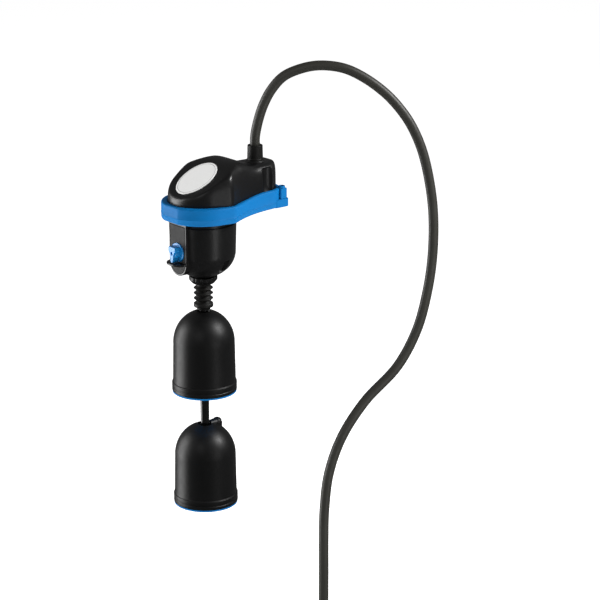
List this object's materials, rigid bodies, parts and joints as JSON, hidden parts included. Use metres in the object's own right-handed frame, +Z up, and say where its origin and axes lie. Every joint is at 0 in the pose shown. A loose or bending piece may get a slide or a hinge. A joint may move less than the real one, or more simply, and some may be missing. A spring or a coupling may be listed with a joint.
{
  "type": "two-float level switch",
  "caption": "Level switch for a sump: a black switch head in a blue bracket, and two floats on a rod below a rubber bellows, with a coiled supply cable.",
  "frame": {"origin": "middle of the rear face of the bracket's lug", "axes": "+Z up along the float rod, +Y out of the rear face towards what the switch is fixed to; the selector faces -Y"},
  "size_m": [0.1928, 0.2233, 0.5846],
  "materials": {
    "black_plastic": "satin moulded, fine grain",
    "blue_plastic": "smooth moulded",
    "black_rubber": "matt",
    "cable_sheath": "matt, slightly waxy",
    "rod_black": "smooth, glossy",
    "steel": "drawn, satin",
    "brass": "rolled",
    "ivory_plastic": "natural moulded",
    "red_plastic": "moulded",
    "label_film": "printed film, satin",
    "grey_plate": "satin film",
    "core_brown": "smooth",
    "core_blue": "smooth",
    "core_black": "smooth"
  },
  "bodies": {
    "head": {"upper_housing": "black_plastic", "lower_housing": "black_plastic", "strain_collar": "black_plastic", "bellows_nut": "black_plastic", "mounting_bracket": "blue_plastic", "housing_gasket": "black_rubber", "cable_gland": "black_rubber", "selector_seal": "black_rubber", "rod_bellows": "black_rubber", "cable_inner_end": "cable_sheath", "supply_cable": "cable_sheath", "cable_coil": "cable_sheath", "case_screw_1": "steel", "case_screw_2": "steel", "case_screw_3": "steel", "carrier_screw_1": "steel", "carrier_screw_2": "steel", "switch_pin_1": "steel", "switch_pin_2": "steel", "lever_pin": "steel", "core_ferrule_1": "steel", "core_ferrule_2": "steel", "core_ferrule_3": "steel", "switch_tab_1": "brass", "switch_tab_2": "brass", "switch_tab_3": "brass", "switch_carrier": "ivory_plastic", "rod_guide_bush": "ivory_plastic", "snap_switch_body": "red_plastic", "rating_label": "label_film", "selector_plate": "grey_plate", "selector_foot_plate": "grey_plate", "cable_core_1": "core_brown", "switch_lead_1": "core_brown", "switch_lead_2": "core_brown", "switch_lead_3": "core_brown", "cable_core_2": "core_blue", "cable_core_3": "core_black"},
    "floats_and_rod": {"float_rod": "rod_black", "rod_cap": "ivory_plastic", "upper_float_shell": "black_plastic", "upper_float_base": "blue_plastic", "upper_float_clip": "steel", "rod_end_stop": "steel"},
    "lower_float": {"lower_float_shell": "black_plastic", "lower_float_base": "blue_plastic", "float_lock_screw": "steel"},
    "selector": {"selector_knob": "blue_plastic", "selector_spindle": "ivory_plastic", "spindle_clip": "steel"},
    "lever": {"switch_lever": "ivory_plastic"},
    "button": {"switch_button": "black_plastic"}
  },
  "joints": [
    {"name": "rod_slide", "type": "slide", "parent": "head", "child": "floats_and_rod", "axis": [0, 0, 1], "range_m": [0, 0.005], "deforming": ["rod_bellows"]},
    {"name": "lower_float_adjust", "type": "slide", "parent": "floats_and_rod", "child": "lower_float", "axis": [0, 0, 1], "range_m": [0, 0.02]},
    {"name": "selector_turn", "type": "hinge", "parent": "head", "child": "selector", "pos_m": [0, -0.1112, -0.0316], "axis": [0, -1, 0], "range_deg": [0, 180]},
    {"name": "lever_swing", "type": "hinge", "parent": "head", "child": "lever", "pos_m": [0, -0.0628, 0.0054], "axis": [-1, 0, 0], "range_deg": [0, 14.5]},
    {"name": "button_press", "type": "slide", "parent": "head", "child": "button", "axis": [0, 0, 1], "range_m": [0, 0.0016]}
  ],
  "couplings": [
    {"joint": "lever_swing", "follows": "rod_slide", "rad_per_m": 50},
    {"joint": "button_press", "follows": "rod_slide", "ratio": 0.3}
  ]
}
